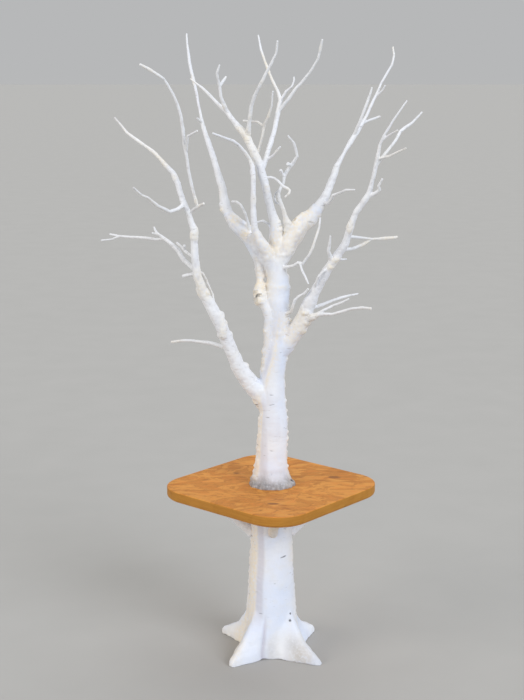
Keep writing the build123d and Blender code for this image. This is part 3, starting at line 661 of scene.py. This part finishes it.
def painted_bark(name, cool, warm, lilac, dash_size, dash_share, stroke):
    """Brushed white paint over bark: cream filler, grey dashes and scars, with painted lilac shade in recesses and
    painted grey shade at the foot and toes.
    """
    r = Recipe(name, IOR=1.46)
    cloud = r.between(r.noise(5.0, detail=2.0), 0.35, 0.7)
    colour = r.mix(cloud, cool, rgb(236, 238, 242))
    colour = r.mix(r.math("MULTIPLY", r.between(r.noise(28.0, detail=4.0), 0.45, 0.75), 0.35),
                   colour, rgb(226, 226, 226))
    putty = r.kept("putty")
    grain = r.noise(90.0, detail=5.0, rough=0.65)
    colour = r.mix(r.math("MULTIPLY", putty, r.between(grain, 0.25, 0.6)), colour, warm)
    # Painted shade: a lilac tone in the flute troughs, pits, grooves, the cleft and the shaded strips.
    colour = r.mix(r.math("MULTIPLY", r.kept("hollow_shade"), 0.75), colour, lilac)
    dash = r.noise(dash_size, stretch=(1, 1, 5.5), detail=1.5, rough=0.4)
    dash = r.between(dash, 0.70 - dash_share, 0.76 - dash_share)
    axes = r.add("ShaderNodeSeparateXYZ")
    r.feed(axes.inputs[0], r.place)
    dash = r.math("MULTIPLY", dash, r.between(axes.outputs[2], 0.14, 0.26))
    colour = r.mix(r.math("MULTIPLY", dash, 0.42), colour, rgb(150, 146, 140))
    # Painted shade: grey round the upper trunk's foot, on a root toe and on the web below the cleft.
    colour = r.mix(r.math("MULTIPLY", r.kept("painted_shade"), r.between(grain, -0.1, 0.65)),
                   colour, rgb(136, 135, 138))
    scar = r.math("MULTIPLY", r.kept("scar"), r.between(grain, 0.1, 0.5))
    colour = r.mix(r.between(scar, 0.12, 0.7), colour, rgb(84, 84, 92))
    brush = r.noise(150.0, stretch=(1, 1, stroke), detail=4.0, rough=0.6)
    pits = r.noise(420.0, detail=3.0)
    height = r.math("ADD", r.math("MULTIPLY", brush, 0.6), r.math("MULTIPLY", pits, 0.4))
    height = r.math("SUBTRACT", height, r.math("MULTIPLY", dash, 0.8))
    rough = r.math("ADD", 0.46, r.math("MULTIPLY", brush, 0.22))
    return r.finish(colour, rough, height, 0.5 * MM)


def strut_paint():
    """White paint worn thin over warm, lengthways-grained branch wood."""
    r = Recipe("strut_paint", IOR=1.46)
    worn = r.between(r.noise(11.0, detail=5.0, rough=0.65), 0.42, 0.62)
    wood = r.mix(r.noise(60.0, stretch=(1, 1, 0.3), detail=4.0), rgb(232, 214, 188), rgb(206, 180, 146))
    bare = r.math("ADD", r.math("MULTIPLY", worn, 0.22), r.math("MULTIPLY", r.kept("putty"), 0.55))
    colour = r.mix(bare, rgb(236, 239, 246), wood)
    # Painted shade in the pits of the strut bark.
    colour = r.mix(r.math("MULTIPLY", r.kept("hollow_shade"), 0.45), colour, rgb(186, 180, 174))
    brush = r.noise(170.0, stretch=(1, 1, 0.25), detail=4.0)
    rough = r.math("ADD", 0.5, r.math("MULTIPLY", worn, 0.2))
    return r.finish(colour, rough, brush, 0.5 * MM)


def board_wood():
    """Golden mottled veneer with figure along one side, brown streaks and darker brown side faces."""
    turn = -board_turn() + 45
    r = Recipe("board_wood", Specular_IOR_Level=0.22, IOR=1.5)
    figure = r.noise(7.5, stretch=(0.75, 1.15, 1.0), detail=6.0, rough=0.6, twist=1.9, turn=turn)
    flame = r.noise(12.0, stretch=(0.6, 1.2, 1.0), detail=4.0, rough=0.6, twist=2.6, turn=turn)
    fibre = r.noise(110.0, stretch=(0.07, 1.0, 1.0), detail=5.0, rough=0.7, turn=turn)
    colour = r.mix(r.between(figure, 0.36, 0.62), rgb(194, 128, 54), rgb(219, 155, 74))
    colour = r.mix(r.math("MULTIPLY", r.between(flame, 0.48, 0.66), 0.5), colour, rgb(222, 142, 62))
    colour = r.mix(r.math("MULTIPLY", r.between(flame, 0.45, 0.36), 0.7), colour, rgb(178, 112, 44))
    vein = r.math("ABSOLUTE", r.math("SUBTRACT", figure, 0.48))
    colour = r.mix(r.math("MULTIPLY", r.between(vein, 0.018, 0.004), 0.42), colour, rgb(154, 94, 38))
    eyes = r.between(r.noise(11.0, stretch=(0.8, 1.2, 1.0), detail=1.0, turn=turn), 0.72, 0.79)
    colour = r.mix(r.math("MULTIPLY", eyes, 0.7), colour, rgb(120, 76, 42))
    colour = r.mix(r.math("MULTIPLY", fibre, 0.25), colour, rgb(218, 156, 100), "MULTIPLY")
    geometry = r.add("ShaderNodeNewGeometry")
    split = r.add("ShaderNodeSeparateXYZ")
    r.feed(split.inputs[0], geometry.outputs["True Normal"])
    side = r.between(r.math("ABSOLUTE", split.outputs[2]), 0.72, 0.35)
    band = r.noise(40.0, stretch=(0.2, 0.2, 3.0), detail=4.0)
    edge = r.mix(band, rgb(150, 100, 33), rgb(188, 134, 54))
    colour = r.mix(r.math("MULTIPLY", side, 0.82), colour, edge)
    rough = r.math("ADD", 0.44, r.math("MULTIPLY", fibre, 0.2))
    return r.finish(colour, rough, r.math("ADD", fibre, r.math("MULTIPLY", figure, 0.6)), 0.35 * MM)


def board_turn():
    """Degrees by which the board's straight sides are turned from the X axis."""
    mesh = NODES["tabletop"].data
    corner = max(mesh.vertices, key=lambda v: v.co.x).co
    return math.degrees(math.atan2(corner.y, corner.x)) + 45


def metal(name, light, dark, metallic, rough, grain, scale):
    """Metal with blotches and a machined or cast grain."""
    r = Recipe(name, Metallic=metallic)
    blotch = r.noise(scale, detail=5.0, rough=0.65)
    lines = r.noise(grain, stretch=(1, 1, 6), detail=3.0)
    colour = r.mix(r.between(blotch, 0.3, 0.7), dark, light)
    value = r.math("ADD", rough, r.math("MULTIPLY", lines, 0.22))
    return r.finish(colour, value, lines, 0.15 * MM)


MATERIALS = {
    "trunk_skin": painted_bark("trunk_paint", rgb(222, 230, 246), rgb(238, 226, 204),
                               rgb(198, 196, 208), 24.0, 0.0, 0.12),
    "limb_bark": painted_bark("limb_paint", rgb(229, 231, 237), rgb(236, 228, 210),
                              rgb(196, 194, 200), 46.0, 0.02, 0.4),
    "twig_bark": painted_bark("twig_paint", rgb(225, 227, 231), rgb(230, 224, 212),
                              rgb(186, 184, 186), 90.0, 0.03, 0.5),
    "strut_wood": strut_paint(),
    "board_wood": board_wood(),
    "core_steel": metal("primed_steel", rgb(70, 72, 76), rgb(38, 40, 44), 0.4, 0.42, 260.0, 18.0),
    "ballast_iron": metal("cast_iron", rgb(92, 90, 88), rgb(52, 50, 50), 0.7, 0.55, 500.0, 60.0),
    "pin_steel": metal("turned_steel", rgb(196, 198, 202), rgb(150, 152, 158), 1.0, 0.2, 900.0, 30.0),
    "zinc_fasteners": metal("zinc_plate", rgb(206, 206, 200), rgb(160, 162, 160), 1.0, 0.3, 300.0, 120.0),
}


def dress(obj, slot):
    """Puts a slot's material on an object."""
    obj.data.materials.clear()
    obj.data.materials.append(MATERIALS[slot])


# ---------------------------------------------------------------- stage
MIDDLE = Vector((0.0, 0.0, 1.3))
FLOOR_RADIUS = 900            # so far out that the floor's rim is the horizon
CAMERA_PLACE = (-0.040, -5.316, 2.432)
CAMERA_DIP = 11.7             # degrees below the horizontal
CAMERA_LENS = 66.86


def sun(name, origin, softness, power, colour):
    """A soft light from a far place towards the tree's middle; its softness is an angle in degrees."""
    data = bpy.data.lights.new(name, "SUN")
    data.energy = power
    data.color = colour
    data.angle = math.radians(softness)
    holder = bpy.data.objects.new(name, data)
    bpy.context.scene.collection.objects.link(holder)
    holder.location = origin
    holder.rotation_euler = (MIDDLE - Vector(origin)).to_track_quat("-Z", "Y").to_euler()


def studio():
    """Plain pale floor, soft lights, and the camera."""
    bm = bmesh.new()
    bmesh.ops.create_circle(bm, cap_ends=True, segments=96, radius=FLOOR_RADIUS)
    mesh = bpy.data.meshes.new("floor")
    bm.to_mesh(mesh)
    bm.free()
    floor = bpy.data.objects.new("floor", mesh)
    bpy.context.scene.collection.objects.link(floor)
    floor.location.z = FLOOR - 0.5 * MM
    r = Recipe("floor_paint")
    mottle = r.noise(3.0, detail=2.0)
    colour = r.mix(mottle, rgb(175, 174, 171), rgb(181, 180, 177))
    mesh.materials.append(r.finish(colour, 0.9, mottle, 0.1 * MM))
    world = bpy.data.worlds.new("studio")
    world.use_nodes = True
    world.node_tree.nodes["Background"].inputs["Color"].default_value = rgb(183, 184, 185)
    world.node_tree.nodes["Background"].inputs["Strength"].default_value = 1.0
    bpy.context.scene.world = world
    sun("key", (3.4, -4.0, 4.1), 35, 1.72, (0.93, 0.97, 1.04))
    sun("fill", (-4.6, -2.6, 2.9), 45, 1.35, (1.0, 0.94, 0.87))
    sun("top", (1.5, 3.0, 8.0), 60, 0.7, (1.0, 1.0, 1.0))
    data = bpy.data.cameras.new("camera")
    data.lens = CAMERA_LENS
    camera = bpy.data.objects.new("camera", data)
    bpy.context.scene.collection.objects.link(camera)
    camera.location = CAMERA_PLACE
    camera.rotation_euler = (math.radians(90 - CAMERA_DIP), 0, 0)
    bpy.context.scene.camera = camera
    bpy.context.scene.view_settings.view_transform = "Standard"


for node in sorted(NODES):
    if SLOT_OF[node] in VOXELS:
        dress(bark_piece(node), SLOT_OF[node])
    else:
        dress(NODES[node], SLOT_OF[node])
studio()
